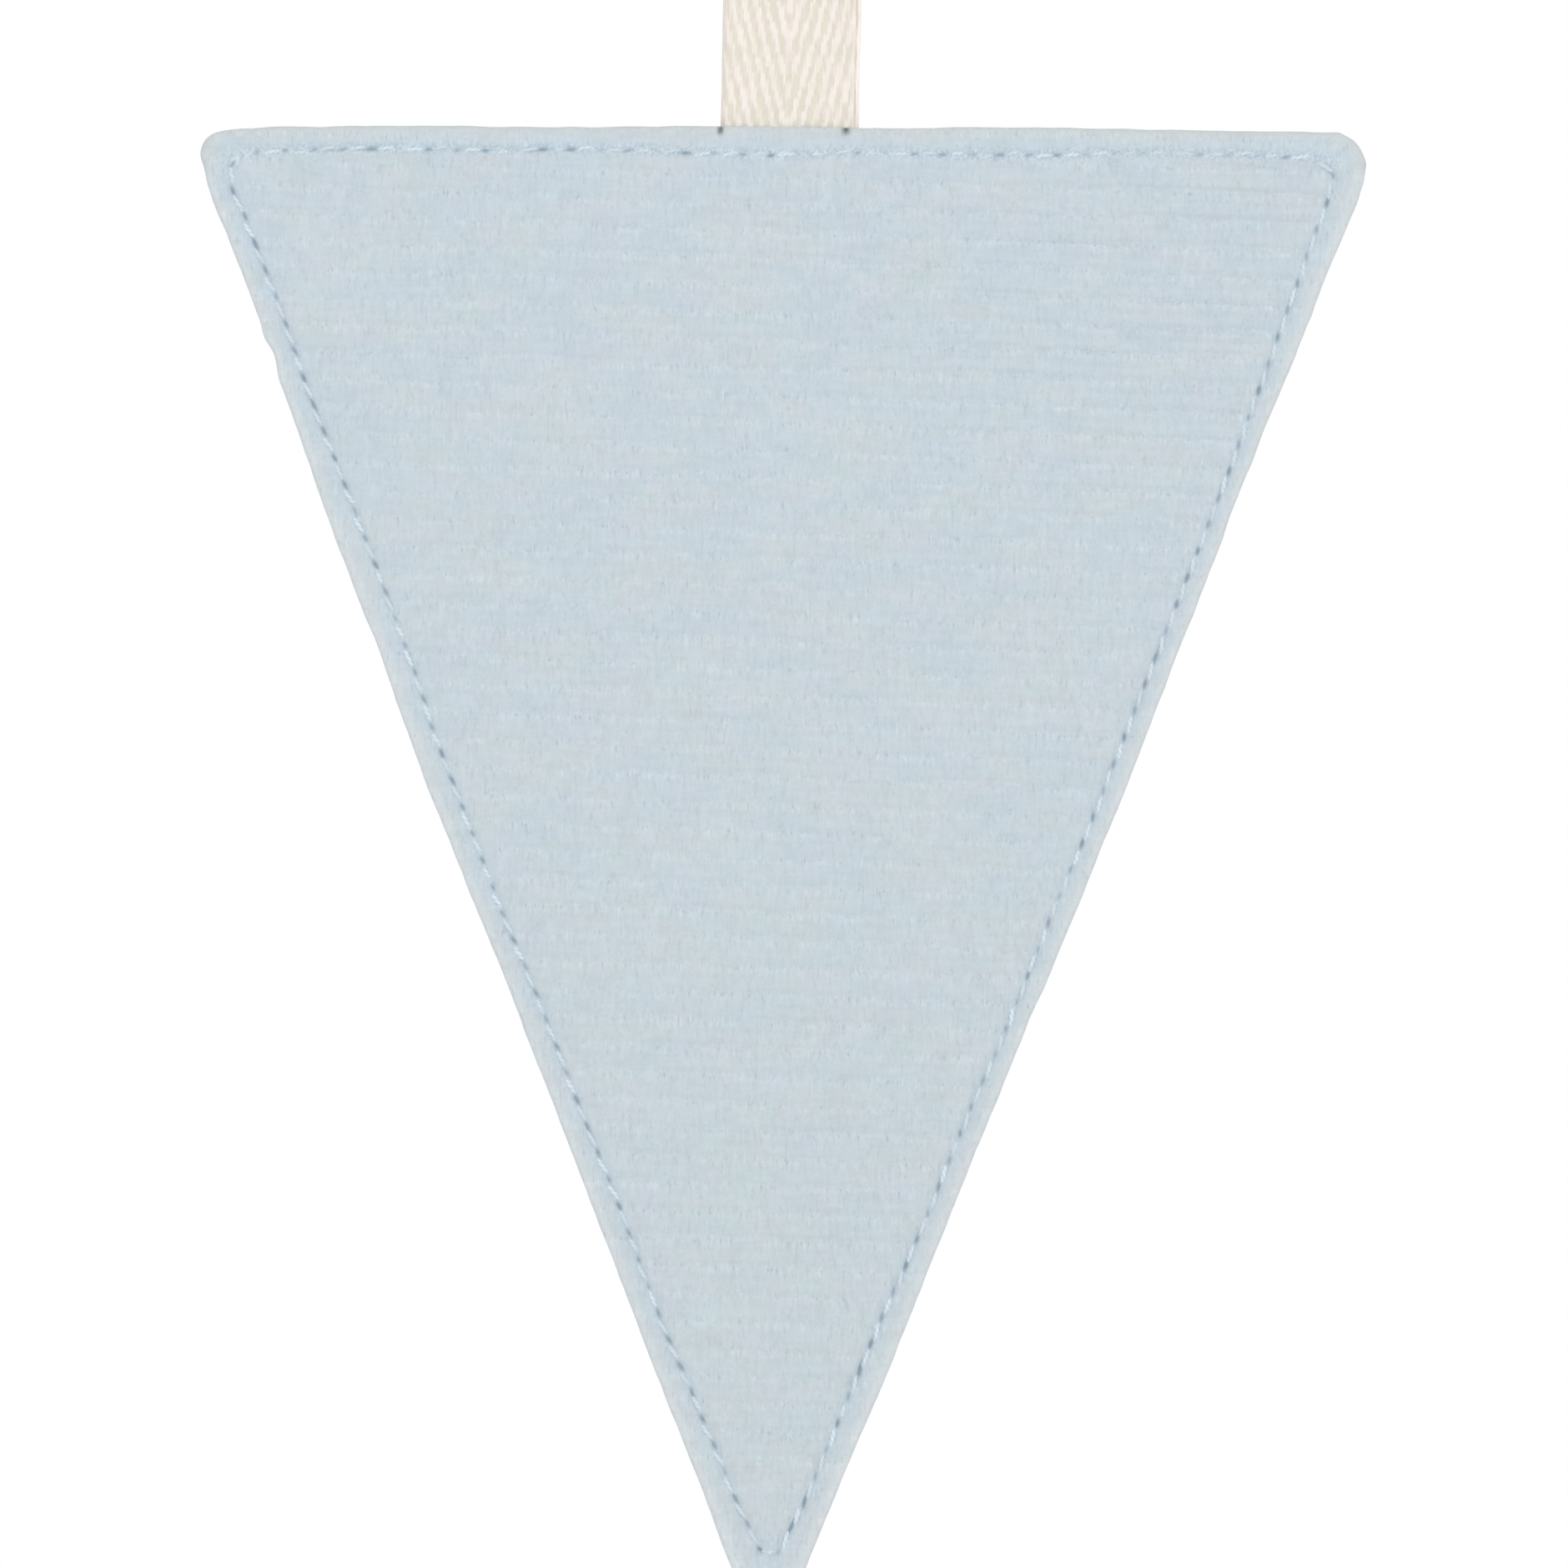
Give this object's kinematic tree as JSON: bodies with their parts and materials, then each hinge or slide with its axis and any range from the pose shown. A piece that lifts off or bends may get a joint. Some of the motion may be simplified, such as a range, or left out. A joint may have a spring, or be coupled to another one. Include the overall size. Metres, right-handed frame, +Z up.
{
  "type": "bunting pennant with hanging tape loop",
  "caption": "Blank triangular pennant of pale blue velvet cord, sewn and turned, topstitched round its edge, hung from a folded loop of herringbone tape.",
  "frame": {"origin": "inside of the tape loop's crown, where a cord bears", "axes": "+Z up along the hanging pennant, front faces -Y, +X to the right seen from the front"},
  "size_m": [0.131, 0.009, 0.1948],
  "materials": {
    "velvet_cord": "pale blue cotton velvet cord with broad ribs and a soft short pile",
    "herringbone_tape": "cream cotton herringbone tape, matte"
  },
  "bodies": {
    "root": {"panel_front": "velvet_cord", "panel_back": "velvet_cord", "hanging_tape": "herringbone_tape"}
  },
  "joints": []
}
